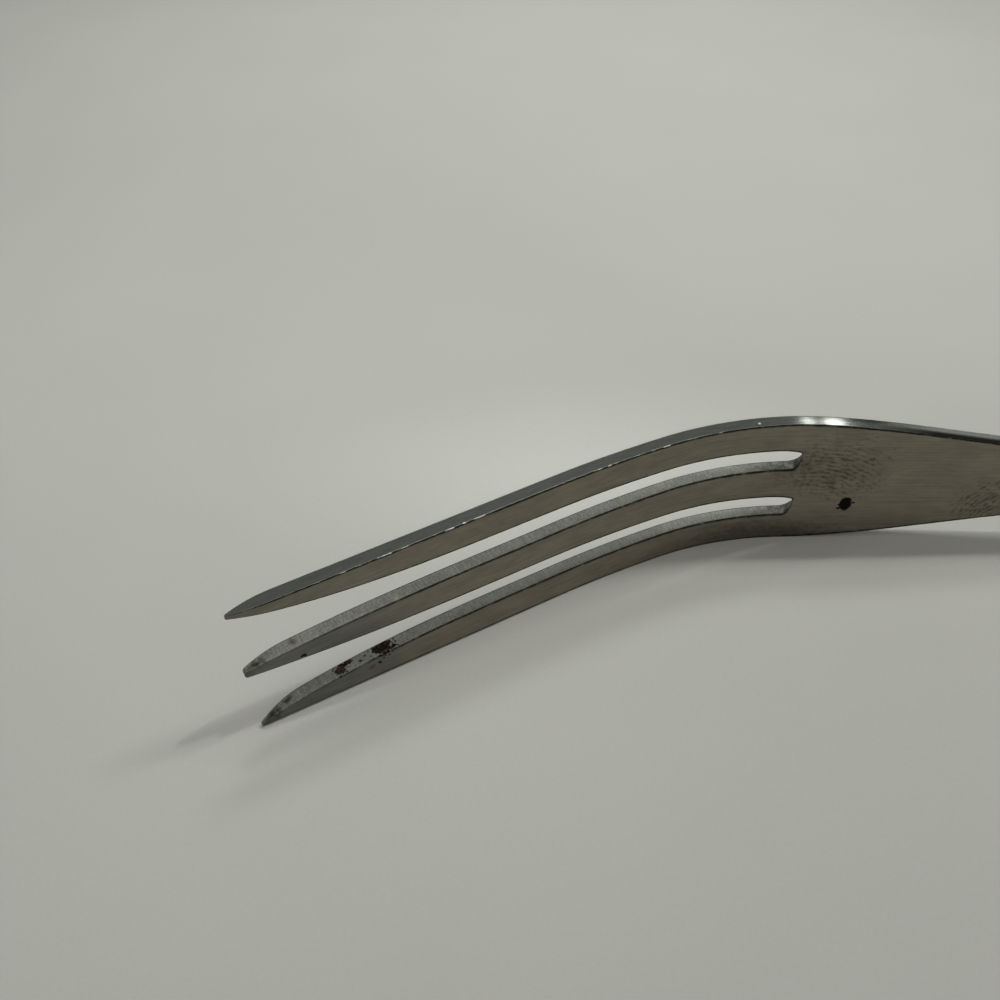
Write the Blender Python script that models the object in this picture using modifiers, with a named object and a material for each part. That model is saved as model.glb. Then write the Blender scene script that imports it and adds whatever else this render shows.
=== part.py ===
"""Three-tine serving fork with a riveted full-tang handle, lying on its long edge.

The steel blank is one stamped sheet: tines, shoulder, neck and tang. It is drawn flat,
bent along its length and ground thin at the tine tips. Two wooden scales sandwich the
tang, held by two-piece rivets whose heads sit flush in counterbores.

Flat stations run along the blank from zero at the slot ends: the tines lie at negative
stations and the handle at positive ones. The tines bend towards -Y. Units are metres.
"""

import math

import bmesh
import bpy

MM = 0.001

# Steel blank, measured flat
SHEET = 1.7 * MM
HEAD_WIDTH = 18.0 * MM
TIP_SPREAD = 17.5 * MM
TINE_LENGTH = 68.6 * MM
SLOT_WIDTH = 3.1 * MM
MIDDLE_TINE_ROOT = 4.2 * MM
MIDDLE_TINE_WAIST = 3.5 * MM
POINT_LENGTH = 34.0 * MM
POINT_POWER = 3.0
OUTER_TIP_WIDTH = 0.45 * MM
MIDDLE_TIP_WIDTH = 0.85 * MM
SHOULDER_LEAD = 2.0 * MM
SHOULDER_LENGTH = 40.0 * MM
NECK_WIDTH = 8.9 * MM
NECK_LENGTH = 7.0 * MM
EDGE_BREAK = 0.2 * MM

# Bend of the head and grinding of the tips
MAIN_BEND_RADIUS = 39.0 * MM
MAIN_BEND_ANGLE = math.radians(24.8)
EASE_BEND_RADIUS = 144.0 * MM
EASE_BEND_ANGLE = math.radians(5.9)
GRIND_LENGTH = 5.2 * MM
TIP_THICKNESS = 0.75 * MM

# Handle scales
HANDLE_LENGTH = 94.0 * MM
HANDLE_WIDTH = 18.0 * MM
BUTT_ROUND = 15.0 * MM
NOSE_ROUND = 3.0 * MM
SCALE_THICKNESS = 4.6 * MM
SCALE_EDGE_ROUND = 1.8 * MM

# Two-piece rivets
RIVET_COUNT = 3
RIVET_FRONT_INSET = 15.0 * MM
RIVET_REAR_INSET = 18.0 * MM
RIVET_HEAD_DIAMETER = 5.0 * MM
RIVET_HEAD_THICKNESS = 1.4 * MM
RIVET_PIN_DIAMETER = 1.8 * MM
RIVET_SOCKET_WALL = 0.5 * MM

# Clearances
SEAT_GAP = 0.3 * MM
RIVET_GAP = 0.3 * MM
CUT_MARGIN = 2.0 * MM

# Stations and radii that follow from the sizes above
NECK_STATION = SHOULDER_LENGTH - SHOULDER_LEAD
NOSE_STATION = NECK_STATION + NECK_LENGTH
BUTT_STATION = NOSE_STATION + HANDLE_LENGTH
FLARE_END_STATION = BUTT_STATION - BUTT_ROUND
POINT_STATION = POINT_LENGTH - TINE_LENGTH
GRIND_STATION = GRIND_LENGTH - TINE_LENGTH
INNER_EDGE = MIDDLE_TINE_ROOT / 2 + SLOT_WIDTH
SCALE_FLOOR = SHEET / 2 + SEAT_GAP
HANDLE_FACE = SCALE_FLOOR + SCALE_THICKNESS
HEAD_SEAT = HANDLE_FACE - RIVET_HEAD_THICKNESS
PIN_RADIUS = RIVET_PIN_DIAMETER / 2
BORE_RADIUS = PIN_RADIUS + RIVET_GAP
SOCKET_RADIUS = BORE_RADIUS + RIVET_SOCKET_WALL
HOLE_RADIUS = SOCKET_RADIUS + RIVET_GAP
HEAD_RADIUS = RIVET_HEAD_DIAMETER / 2
COUNTERBORE_RADIUS = HEAD_RADIUS + RIVET_GAP

# Fineness of the round stretches
CURVE_STEPS = 12
SLOT_END_STEPS = 10
TIP_STEPS = 6
TURN_STEPS = 28
BEND_STEP = math.radians(1.6)
SHARP_ANGLE = math.radians(35.0)

STEEL = ("brushed_steel", (0.50, 0.49, 0.46), 1.0, 0.34)
RIVET_STEEL = ("rivet_steel", (0.60, 0.59, 0.56), 1.0, 0.26)
WOOD = ("walnut", (0.165, 0.085, 0.045), 0.0, 0.52)


def ease(share):
    """S-curve from 0 to 1 that is level at both ends."""
    return share * share * (3.0 - 2.0 * share)


def steps(count):
    """Even shares from 0 to 1, both ends included."""
    return [i / count for i in range(count + 1)]


def arc(centre, radii, start, end, count):
    """Points on an ellipse about centre, between two angles in degrees."""
    points = []
    for share in steps(count):
        angle = math.radians(start + (end - start) * share)
        points.append((centre[0] + radii[0] * math.cos(angle), centre[1] + radii[1] * math.sin(angle)))
    return points


def handle_half_width(station):
    """Half the width of tang and scales, ahead of the rounded butt."""
    share = (station - NOSE_STATION) / (FLARE_END_STATION - NOSE_STATION)
    return NECK_WIDTH / 2 + (HANDLE_WIDTH - NECK_WIDTH) / 2 * ease(share)


def butt_and_side():
    """Upper side of the handle, from the butt's middle to the scales' nose."""
    points = arc((FLARE_END_STATION, 0.0), (BUTT_ROUND, HANDLE_WIDTH / 2), 0.0, 90.0, CURVE_STEPS)
    span = FLARE_END_STATION - NOSE_STATION
    for share in steps(CURVE_STEPS)[1:]:
        station = FLARE_END_STATION - span * share
        points.append((station, handle_half_width(station)))
    return points


def shoulder_side():
    """Upper side from the neck to the widest place of the head."""
    points = []
    for share in steps(CURVE_STEPS):
        half = NECK_WIDTH / 2 + (HEAD_WIDTH - NECK_WIDTH) / 2 * ease(share)
        points.append((NECK_STATION - SHOULDER_LENGTH * share, half))
    return points


def point_curve(from_half, to_half, end_station):
    """Edge of a tine's point: it leaves the straight edge gently and turns in more towards the tip."""
    points = []
    for share in steps(CURVE_STEPS):
        station = POINT_STATION + (end_station - POINT_STATION) * share
        points.append((station, from_half + (to_half - from_half) * share ** POINT_POWER))
    return points


def tine_side():
    """Upper outer tine, its slot and the upper half of the middle tine."""
    outer_radius = OUTER_TIP_WIDTH / 2
    middle_radius = MIDDLE_TIP_WIDTH / 2
    outer_end = outer_radius - TINE_LENGTH
    middle_end = middle_radius - TINE_LENGTH
    slot_radius = SLOT_WIDTH / 2
    slot_middle = INNER_EDGE - slot_radius
    points = arc((outer_end, TIP_SPREAD / 2 - outer_radius), (outer_radius, outer_radius), 90.0, 270.0, TIP_STEPS)
    points += point_curve(INNER_EDGE, TIP_SPREAD / 2 - OUTER_TIP_WIDTH, outer_end)[-2::-1]
    points += arc((-slot_radius, slot_middle), (slot_radius, slot_radius), 90.0, -90.0, SLOT_END_STEPS)
    points += point_curve(MIDDLE_TINE_WAIST / 2, middle_radius, middle_end)
    points += arc((middle_end, 0.0), (middle_radius, middle_radius), 90.0, 180.0, TIP_STEPS // 2)[1:]
    return points


def mirrored(upper):
    """Closed outline from its upper half, whose first and last points lie on the centre line."""
    return upper + [(station, -half) for station, half in reversed(upper[1:-1])]


def blank_outline():
    """Flat outline of the whole steel blank."""
    return mirrored(butt_and_side() + shoulder_side() + tine_side())


def scale_outline():
    """Flat outline of a handle scale: the tang's own, closed by a rounded nose."""
    nose = arc((NOSE_STATION + NOSE_ROUND, 0.0), (NOSE_ROUND, handle_half_width(NOSE_STATION + NOSE_ROUND)),
               90.0, 180.0, CURVE_STEPS // 2)
    side = [point for point in butt_and_side() if point[0] > NOSE_STATION + NOSE_ROUND]
    return mirrored(side + nose)


def centre_line(station):
    """Place and tilt of the bent sheet's middle at a flat station."""
    if station >= 0.0:
        return station, 0.0, 0.0
    left = -station
    x = y = tilt = 0.0
    for radius, angle in ((MAIN_BEND_RADIUS, MAIN_BEND_ANGLE), (EASE_BEND_RADIUS, EASE_BEND_ANGLE)):
        turn = min(left / radius, angle)
        x -= radius * (math.sin(tilt + turn) - math.sin(tilt))
        y -= radius * (math.cos(tilt) - math.cos(tilt + turn))
        tilt += turn
        left -= turn * radius
    return x - left * math.cos(tilt), y - left * math.sin(tilt), tilt


def bend_stations():
    """Stations where the sheet is creased finely enough to follow both bends, and where grinding starts."""
    stations = [0.0, GRIND_STATION]
    start = 0.0
    for radius, angle in ((MAIN_BEND_RADIUS, MAIN_BEND_ANGLE), (EASE_BEND_RADIUS, EASE_BEND_ANGLE)):
        count = math.ceil(angle / BEND_STEP)
        stations += [start - radius * angle * share for share in steps(count)[1:]]
        start -= radius * angle
    return stations


def ground_thickness(station):
    """Sheet thickness, thinned evenly over the ground length of the tips."""
    if station >= GRIND_STATION:
        return SHEET
    return SHEET + (TIP_THICKNESS - SHEET) * (GRIND_STATION - station) / GRIND_LENGTH


def new_collection(name):
    """Collection linked to the scene."""
    collection = bpy.data.collections.new(name)
    bpy.context.scene.collection.children.link(collection)
    return collection


def new_material(name, colour, metallic, roughness):
    """Principled material with one colour."""
    material = bpy.data.materials.new(name)
    material.use_nodes = True
    shader = material.node_tree.nodes["Principled BSDF"]
    shader.inputs["Base Color"].default_value = (*colour, 1.0)
    shader.inputs["Metallic"].default_value = metallic
    shader.inputs["Roughness"].default_value = roughness
    material.diffuse_color = (*colour, 1.0)
    return material


def flat_solid(name, outline, half_thickness):
    """Mesh of a filled flat outline, extruded both ways, with welded caps of one face each."""
    curve = bpy.data.curves.new(name, "CURVE")
    curve.dimensions = "2D"
    curve.fill_mode = "BOTH"
    curve.extrude = half_thickness
    spline = curve.splines.new("POLY")
    spline.points.add(len(outline) - 1)
    for point, (station, half) in zip(spline.points, outline):
        point.co = (station, half, 0.0, 1.0)
    spline.use_cyclic_u = True
    carrier = bpy.data.objects.new(name, curve)
    bpy.context.scene.collection.objects.link(carrier)
    evaluated = carrier.evaluated_get(bpy.context.evaluated_depsgraph_get())
    mesh = bpy.data.meshes.new_from_object(evaluated)
    bpy.data.objects.remove(carrier)
    solid = bmesh.new()
    solid.from_mesh(mesh)
    bmesh.ops.remove_doubles(solid, verts=solid.verts, dist=0.001 * MM)
    bmesh.ops.recalc_face_normals(solid, faces=solid.faces)
    inside_caps = [edge for edge in solid.edges if all(abs(face.normal.z) > 0.5 for face in edge.link_faces)]
    bmesh.ops.dissolve_edges(solid, edges=inside_caps)
    solid.to_mesh(mesh)
    solid.free()
    mesh.name = name
    return mesh


def bend_blank(mesh):
    """Crease the flat blank across its length, thin its tips from the back and bend it."""
    solid = bmesh.new()
    solid.from_mesh(mesh)
    for station in bend_stations():
        everything = solid.verts[:] + solid.edges[:] + solid.faces[:]
        bmesh.ops.bisect_plane(solid, geom=everything, dist=0.001 * MM, plane_co=(station, 0.0, 0.0),
                               plane_no=(1.0, 0.0, 0.0))
    for vert in solid.verts:
        station, half, height = vert.co
        x, y, tilt = centre_line(station)
        front = SHEET / 2 - (SHEET / 2 - height) * ground_thickness(station) / SHEET
        vert.co = (x + front * math.sin(tilt), y - front * math.cos(tilt), half)
    solid.to_mesh(mesh)
    solid.free()


def new_part(name, mesh, material, collection, parent):
    """Named object of a piece, shaded smooth except at its edges."""
    part = bpy.data.objects.new(name, mesh)
    collection.objects.link(part)
    part.parent = parent
    if not mesh.materials:
        mesh.materials.append(material)
    mesh.shade_smooth()
    mesh.set_sharp_from_angle(angle=SHARP_ANGLE)
    return part


def new_cutter(name, mesh, collection, parent):
    """Object that only cuts other pieces."""
    cutter = bpy.data.objects.new(name, mesh)
    collection.objects.link(cutter)
    cutter.parent = parent
    cutter.hide_render = True
    cutter.display_type = "WIRE"
    return cutter


def round_edges(part, width, segments):
    """Rounded rims on the edges that meet squarely."""
    bevel = part.modifiers.new("rounded_edges", "BEVEL")
    bevel.limit_method = "ANGLE"
    bevel.angle_limit = math.radians(50.0)
    bevel.width = width
    bevel.segments = segments
    bevel.use_clamp_overlap = False


def cut(part, cutter):
    """Boolean difference of a piece and a cutter."""
    boolean = part.modifiers.new(cutter.name, "BOOLEAN")
    boolean.operation = "DIFFERENCE"
    boolean.object = cutter


def profile_mesh(name, profile):
    """Edge chain of a turned profile, radius along X and axis along Z."""
    mesh = bpy.data.meshes.new(name)
    mesh.from_pydata([(radius, 0.0, height) for radius, height in profile],
                     [(i, i + 1) for i in range(len(profile) - 1)], [])
    return mesh


def turn(shape):
    """Screw modifier that turns a profile once round its axis."""
    screw = shape.modifiers.new("turned", "SCREW")
    screw.steps = TURN_STEPS
    screw.render_steps = TURN_STEPS
    screw.use_merge_vertices = True
    screw.merge_threshold = 0.001 * MM
    screw.use_smooth_shade = True


def rivet_stations():
    """Stations of the rivets, spread evenly between the two insets."""
    first = NOSE_STATION + RIVET_FRONT_INSET
    last = BUTT_STATION - RIVET_REAR_INSET
    return [first + (last - first) * share for share in steps(RIVET_COUNT - 1)]


def bore_profile():
    """Stepped hole through the whole handle: a counterbore at each face and a plain hole between."""
    outside = HANDLE_FACE + CUT_MARGIN
    floor = HEAD_SEAT - RIVET_GAP
    return [(0.0, outside), (COUNTERBORE_RADIUS, outside), (COUNTERBORE_RADIUS, floor), (HOLE_RADIUS, floor),
            (HOLE_RADIUS, -floor), (COUNTERBORE_RADIUS, -floor), (COUNTERBORE_RADIUS, -outside), (0.0, -outside)]


def pin_profile():
    """Solid rivet half: a flush head and a pin that stops just short of the socket's end."""
    end = RIVET_GAP - HEAD_SEAT
    return [(0.0, HANDLE_FACE), (HEAD_RADIUS, HANDLE_FACE), (HEAD_RADIUS, HEAD_SEAT), (PIN_RADIUS, HEAD_SEAT),
            (PIN_RADIUS, end), (0.0, end)]


def socket_profile():
    """Hollow rivet half: a flush head and a tube that stops just short of the other head."""
    mouth = RIVET_GAP - HEAD_SEAT
    return [(0.0, HANDLE_FACE), (HEAD_RADIUS, HANDLE_FACE), (HEAD_RADIUS, HEAD_SEAT), (SOCKET_RADIUS, HEAD_SEAT),
            (SOCKET_RADIUS, mouth), (BORE_RADIUS, mouth), (BORE_RADIUS, HEAD_SEAT), (0.0, HEAD_SEAT)]


def build_blank(collection, parent, bores):
    """Steel sheet from tine tips to butt, with the rivet holes in its tang."""
    mesh = flat_solid("fork_blank", blank_outline(), SHEET / 2)
    bend_blank(mesh)
    blank = new_part("fork_blank", mesh, new_material(*STEEL), collection, parent)
    round_edges(blank, EDGE_BREAK, 2)
    for bore in bores:
        cut(blank, bore)
    return blank


def tang_cutter(collection, parent):
    """Block that takes away the tang's space and everything on one side of it."""
    mesh = bpy.data.meshes.new("tang_clearance")
    block = bmesh.new()
    bmesh.ops.create_cube(block, size=1.0)
    low = (NOSE_STATION - CUT_MARGIN, -HANDLE_WIDTH / 2 - CUT_MARGIN, -HANDLE_FACE - CUT_MARGIN)
    high = (BUTT_STATION + CUT_MARGIN, HANDLE_WIDTH / 2 + CUT_MARGIN, SCALE_FLOOR)
    for vert in block.verts:
        vert.co = [a + (b - a) * (value + 0.5) for a, b, value in zip(low, high, vert.co)]
    block.to_mesh(mesh)
    block.free()
    return new_cutter("tang_clearance", mesh, collection, parent)


def build_scales(collection, cutters, parent, bores):
    """Wooden scales: one rounded handle block each, cut back to its own side of the tang."""
    mesh = flat_solid("handle_scale", scale_outline(), HANDLE_FACE)
    wood = new_material(*WOOD)
    scales = []
    for name, tilt in (("handle_scale_front", 90.0), ("handle_scale_back", -90.0)):
        scale = new_part(name, mesh, wood, collection, parent)
        scale.rotation_euler = (math.radians(tilt), 0.0, 0.0)
        clearance = tang_cutter(cutters, parent)
        clearance.rotation_euler = scale.rotation_euler
        round_edges(scale, SCALE_EDGE_ROUND, 4)
        cut(scale, clearance)
        for bore in bores:
            cut(scale, bore)
        scales.append(scale)
    return scales


def build_rivets(collection, parent):
    """Pin halves enter from the front and socket halves from the back."""
    steel = new_material(*RIVET_STEEL)
    rivets = []
    for kind, profile, tilt in (("pin", pin_profile(), 90.0), ("socket", socket_profile(), -90.0)):
        mesh = profile_mesh("rivet_" + kind, profile)
        for number, station in enumerate(rivet_stations(), start=1):
            rivet = new_part(f"rivet_{kind}_{number}", mesh, steel, collection, parent)
            rivet.location = (station, 0.0, 0.0)
            rivet.rotation_euler = (math.radians(tilt), 0.0, 0.0)
            turn(rivet)
            rivets.append(rivet)
    return rivets


def rivet_bores(collection, parent):
    """Cutters for the rivet holes, one through scale, tang and scale."""
    bores = []
    mesh = profile_mesh("rivet_bore", bore_profile())
    for number, station in enumerate(rivet_stations(), start=1):
        bore = new_cutter(f"rivet_bore_{number}", mesh, collection, parent)
        bore.location = (station, 0.0, 0.0)
        bore.rotation_euler = (math.radians(90.0), 0.0, 0.0)
        turn(bore)
        bores.append(bore)
    return bores


def stand_on_origin(root):
    """Move the fork so that its box stands on the ground plane, centred on the origin."""
    tip_x, tip_y, tilt = centre_line(-TINE_LENGTH)
    thin = SHEET / 2 - TIP_THICKNESS
    low = (tip_x + thin * math.sin(tilt), tip_y - SHEET / 2 * math.cos(tilt))
    high = (BUTT_STATION, HANDLE_FACE)
    root.location = (-(low[0] + high[0]) / 2, -(low[1] + high[1]) / 2, max(HEAD_WIDTH, HANDLE_WIDTH) / 2)


def main():
    """Build the fork from an empty scene."""
    for old in list(bpy.data.objects):
        bpy.data.objects.remove(old)
    parts = new_collection("serving_fork")
    cutters = new_collection("serving_fork_cutters")
    root = bpy.data.objects.new("serving_fork", None)
    parts.objects.link(root)
    bores = rivet_bores(cutters, root)
    build_blank(parts, root, bores)
    build_scales(parts, cutters, root, bores)
    build_rivets(parts, root)
    stand_on_origin(root)


main()
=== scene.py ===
import math
from functools import partial
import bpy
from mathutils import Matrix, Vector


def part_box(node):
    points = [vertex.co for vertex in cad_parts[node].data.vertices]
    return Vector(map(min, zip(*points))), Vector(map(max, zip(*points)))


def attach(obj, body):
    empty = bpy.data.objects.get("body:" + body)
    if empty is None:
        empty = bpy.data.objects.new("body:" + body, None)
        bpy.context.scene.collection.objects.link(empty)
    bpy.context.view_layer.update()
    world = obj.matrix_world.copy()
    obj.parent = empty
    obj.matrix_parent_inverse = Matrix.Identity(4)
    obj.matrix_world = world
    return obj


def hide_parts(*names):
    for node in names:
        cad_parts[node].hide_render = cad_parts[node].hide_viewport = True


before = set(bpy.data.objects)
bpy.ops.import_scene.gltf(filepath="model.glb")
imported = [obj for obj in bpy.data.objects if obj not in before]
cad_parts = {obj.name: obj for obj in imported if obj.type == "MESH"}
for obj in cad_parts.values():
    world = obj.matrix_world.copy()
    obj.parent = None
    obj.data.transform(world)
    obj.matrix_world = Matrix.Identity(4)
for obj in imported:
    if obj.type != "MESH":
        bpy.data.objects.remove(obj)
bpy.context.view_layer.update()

from types import SimpleNamespace

import bpy
import numpy as np
from bpy.props import FloatProperty, FloatVectorProperty, IntProperty, PointerProperty
from bpy.types import Operator, Panel, PropertyGroup
from mathutils import Matrix, Vector

bl_info = {
    "name": "Serving fork",
    "version": (1, 0, 0),
    "blender": (4, 5, 0),
    "location": "3D View > Sidebar > Fork",
    "description": "A bent three-tine serving fork with a riveted wooden handle, and its stage",
    "category": "Add Mesh",
}

MM = 0.001
FULL_TURN = 2.0 * math.pi
BODY = "root"
ZONES = ("rim", "slot", "edge")

# Rows, columns, sides and steps of the surfaces
TINE_ROWS, SLOT_END_ROWS, TIP_ROWS, BUTT_ROWS = 136, 18, 7, 18
EDGE_ROWS, WALL_ROWS = 4, 6
FACE_COLUMNS = np.array((0.0, 0.07, 0.17, 0.33, 0.5, 0.67, 0.83, 0.93, 1.0))
SHOULDER_STEP, TANG_STEP, SCALE_STEP = 0.5 * MM, 0.7 * MM, 0.6 * MM
SCALE_NOSE_ROWS, SCALE_BUTT_ROWS, SCALE_COLUMNS = 14, 34, 49
RIVET_SIDES, TABLE_SIDES, TABLE_RINGS = 72, 96, 12

# First row behind the slot ends, and the lengths over which their draft and their curve fade out
FIRST_ROW, DRAFT_FADE, CURVE_FADE = 0.15 * MM, 6.0 * MM, 5.0 * MM
# Edge rounding: share left at the tips, length over which it shrinks, and where the wall starts beyond it
TIP_ROUND, ROUND_FADE, WALL_START = 0.3, 6.0 * MM, 0.10 * MM
# Room round the rivet holes, along and across, in blank and scales, and the ring round a counterbore
BLANK_ROOM, SCALE_ROOM, COUNTERBORE_RING = (0.6 * MM, 0.3 * MM), (0.7 * MM, 0.35 * MM), 0.15 * MM
# Exponents of the scales' crown, across its width and for its height, and of the round over its ends, and
# the least half width that is divided by
CROWN_ACROSS, CROWN_HEIGHT, CROWN_END, NO_WIDTH = 4.2, 2.6, 2.2, 1e-9
# Rivet heads: rings on them, width of the broken edge, share of it in the first facet, height over the wood
HEAD_RINGS, HEAD_EDGE, HEAD_FACET, HEAD_PROUD = (0.2, 0.4, 0.6, 0.8, 0.9), 0.07 * MM, 0.3, 0.02 * MM
# Angles in degrees past which an edge stays sharp
STEEL_SHARP, HANDLE_SHARP = 50.0, 40.0
TABLE_RADIUS = 4.0
SENSOR_WIDTH, CLIP_START = 36.0, 2.0 * MM


def length(name, millimetres, description):
    """Length property whose default is given in millimetres."""
    return FloatProperty(name=name, description=description, default=millimetres * MM, min=0.0, precision=5,
                         unit="LENGTH")


def angle(name, degrees, description):
    """Angle property whose default is given in degrees."""
    return FloatProperty(name=name, description=description, default=math.radians(degrees), subtype="ANGLE")


def colour(name, rgb, description):
    """Linear colour property."""
    return FloatVectorProperty(name=name, description=description, default=rgb, size=3, min=0.0, max=1.0,
                               subtype="COLOR")


def power(name, watts, description):
    """Lamp power property."""
    return FloatProperty(name=name, description=description, default=watts, min=0.0, precision=4,
                         unit="POWER")


class ForkSteelSizes(PropertyGroup):
    """Sizes of the steel blank, measured flat, and of its bend and edges."""

    sheet: length("Sheet", 1.7, "Thickness of the steel sheet")
    head_width: length("Head width", 18.0, "Width of the head at the slot ends")
    tip_spread: length("Tip spread", 17.5, "Width over the tips of the outer tines")
    upper_length: length("Upper tine", 69.15, "Upper outer tine, from the slot ends to its tip")
    middle_length: length("Middle tine", 68.95, "Middle tine, from the slot ends to its tip")
    lower_length: length("Lower tine", 68.7, "Lower outer tine, from the slot ends to its tip")
    slot_width: length("Slot width", 2.9, "Width of the two slots at their closed ends")
    upper_open: length("Upper opening", 0.30, "How much the upper slot widens towards the tine's point")
    lower_open: length("Lower opening", 0.05, "How much the lower slot widens towards the tine's point")
    slot_round: length("Slot round", 3.6, "Length of the gentle rounding at the upper side of the slot ends")
    slot_corner: length("Slot corner", 0.8, "Length of the tight rounding at their lower side, in front")
    slot_run: length("Slot run-out", 1.9, "Length of the rounding at their lower side, on the back face")
    slot_lean: length("Slot lean", 0.95, "How far the closed ends of the slots lie above their middle")
    slot_draft: length("Slot draft", 1.0, "How much further the slots reach on the back face")
    middle_root: length("Middle root", 4.35, "Width of the middle tine at its root")
    middle_waist: length("Middle waist", 3.65, "Width of the middle tine where its point starts")
    point_start: length("Point start", 34.6, "From the slot ends to where the tines start to narrow")
    point_power: FloatProperty(name="Point power", description="How late the points turn in", default=3.0)
    outer_tip: length("Outer tip", 0.45, "Width of the outer tines at their tips")
    middle_tip: length("Middle tip", 0.85, "Width of the middle tine at its tip")
    shoulder_lead: length("Shoulder lead", 2.0, "How far the shoulder starts ahead of the slot ends")
    shoulder_length: length("Shoulder length", 40.0, "Length of the S-curve from head to neck")
    neck_width: length("Neck width", 8.9, "Width of the neck")
    neck_length: length("Neck length", 7.0, "Length of the even neck")
    bend_radius: length("Bend radius", 39.0, "Radius of the main bend")
    bend_angle: angle("Bend angle", 24.8, "Turn of the main bend")
    ease_radius: length("Ease radius", 144.0, "Radius of the gentle bend along the tines")
    ease_angle: angle("Ease angle", 5.9, "Turn of the gentle bend")
    grind_length: length("Grind length", 5.2, "Length of the tips that is ground thin")
    outer_tip_thickness: length("Outer tip thickness", 0.28, "Thickness left at the outer tines' tips")
    middle_tip_thickness: length("Middle tip thickness", 0.70, "Thickness left at the middle tine's tip")
    upper_tip_set: length("Upper tip set", 0.40, "How far the upper tip is ground back from the front face")
    edge_round: length("Edge round", 0.07, "Rounding along all edges")


class ForkHandleSizes(PropertyGroup):
    """Sizes of the wooden scales and the rivets."""

    handle_length: length("Handle length", 94.0, "From the nose of the scales to the butt")
    handle_width: length("Handle width", 18.0, "Widest place of the handle")
    butt_round: length("Butt round", 15.0, "Length of the rounded butt")
    nose_round: length("Nose round", 3.0, "Depth of the rounded nose of the scales")
    end_round: length("End round", 2.6, "How far the scales round over at both ends")
    scale_fit: length("Scale fit", 0.02, "Hairline between a scale and the tang")
    rivet_count: IntProperty(name="Rivets", description="Number of rivets", default=3, min=2)
    rivet_front_inset: length("Front inset", 15.0, "First rivet from the nose")
    rivet_rear_inset: length("Rear inset", 18.0, "Last rivet from the butt")
    rivet_head: length("Rivet head", 5.0, "Diameter of the rivet heads")
    rivet_head_thickness: length("Head thickness", 1.4, "Thickness of the rivet heads")
    rivet_pin: length("Rivet pin", 1.8, "Diameter of the rivet pins")
    rivet_wall: length("Socket wall", 0.5, "Wall of the hollow rivet halves")
    rivet_fit: length("Rivet fit", 0.03, "Hairline round the rivets")


class ForkFinish(PropertyGroup):
    """Colours of the steel, the marks on it, the wood and the rivets."""

    face: colour("Brushed face", (0.245, 0.220, 0.176), "Brushed faces of the blank")
    tip: colour("Worn tip", (0.165, 0.170, 0.155), "Duller grey faces near the tips")
    rim: colour("Polished rim", (0.370, 0.390, 0.352), "Polished outer rim of the blank")
    slot: colour("Sheared slot", (0.228, 0.238, 0.202), "Dull sheared walls of the slots")
    # Near-black colour of the grime in the marks, also used for the painted shade along the corners and for
    # the table's shadow painted low on the lower tine
    grime: colour("Grime", (0.010, 0.009, 0.007), "Dark grime along the corners and in the marks")
    residue: colour("Residue", (0.075, 0.042, 0.014), "Baked-on brown residue")
    # Colour of fresh metal in the nicks, also used for the painted glints along the upper corner
    bright: colour("Nick", (0.90, 0.90, 0.88), "Fresh metal in small nicks")
    wood_light: colour("Light wood", (0.270, 0.145, 0.075), "Pale growth bands of the wood")
    wood_dark: colour("Dark wood", (0.085, 0.040, 0.020), "Dark growth bands of the wood")
    pore: colour("Wood pores", (0.030, 0.014, 0.008), "Pores along the grain")
    rivet: colour("Rivet", (0.60, 0.59, 0.56), "Ground rivet heads")


class ForkStage(PropertyGroup):
    """Floor, light and view."""

    floor: colour("Floor", (0.480, 0.484, 0.440), "Pale matt table top")
    horizon: colour("Horizon", (0.40, 0.40, 0.385), "Pale surroundings at eye level")
    shade: colour("Shade", (0.150, 0.150, 0.145), "Darker surroundings above eye level")
    ceiling: colour("Ceiling", (0.42, 0.42, 0.41), "Surroundings overhead")
    front: colour("Front", (0.42, 0.42, 0.41), "Light added by the pale surroundings in front")
    pool_power: power("Soft spot", 1.80, "Soft spot that lights the table behind the head")
    back_power: power("Back spot", 19.0, "Broad soft spot that lights the back of the table")
    tip_power: power("Tip spot", 2.05, "Small spot at the right that lights the tips")
    neck_power: power("Neck spot", 0.94, "Spot at the right that lights the neck")
    gap_power: power("Gap spot", 2.3, "Narrow spot at the left that lights the table behind the tines")
    tube_power: power("Tube lamp", 0.50, "Long lamp overhead at the right, along the fork")
    box_power: power("Soft box", 0.62, "Soft lamp at the right and behind")
    left_glint: power("Left far lamp", 0.011, "Left of two small far lamps that glint on the shoulder")
    right_glint: power("Right far lamp", 0.024, "Right of the two small far lamps")
    lens: FloatProperty(name="Lens", description="Focal length on a 36 mm sensor", default=37.26, min=1.0)
    azimuth: angle("Azimuth", 2.63, "How far the view stands to the right of straight on")
    elevation: angle("Elevation", 42.09, "How far the view looks down")
    roll: angle("Roll", -1.99, "Turn of the picture about the line of sight")
    distance: length("Distance", 117.65, "From the point looked at to the camera")
    target: FloatVectorProperty(name="Target", description="Point looked at, from the slot ends' middle",
                                default=(-35.456 * MM, -8.5 * MM, 4.401 * MM), size=3, precision=5,
                                subtype="TRANSLATION", unit="LENGTH")


def ease(share):
    """S-curve from 0 to 1, level at both ends: three times the square less twice the cube."""
    return share * share * (3.0 - 2.0 * share)


def clamped(share):
    """Share held between 0 and 1."""
    return np.clip(share, 0.0, 1.0)


def root_of(square):
    """Square root, zero where the square is negative."""
    return np.sqrt(np.clip(square, 0.0, None))


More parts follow.
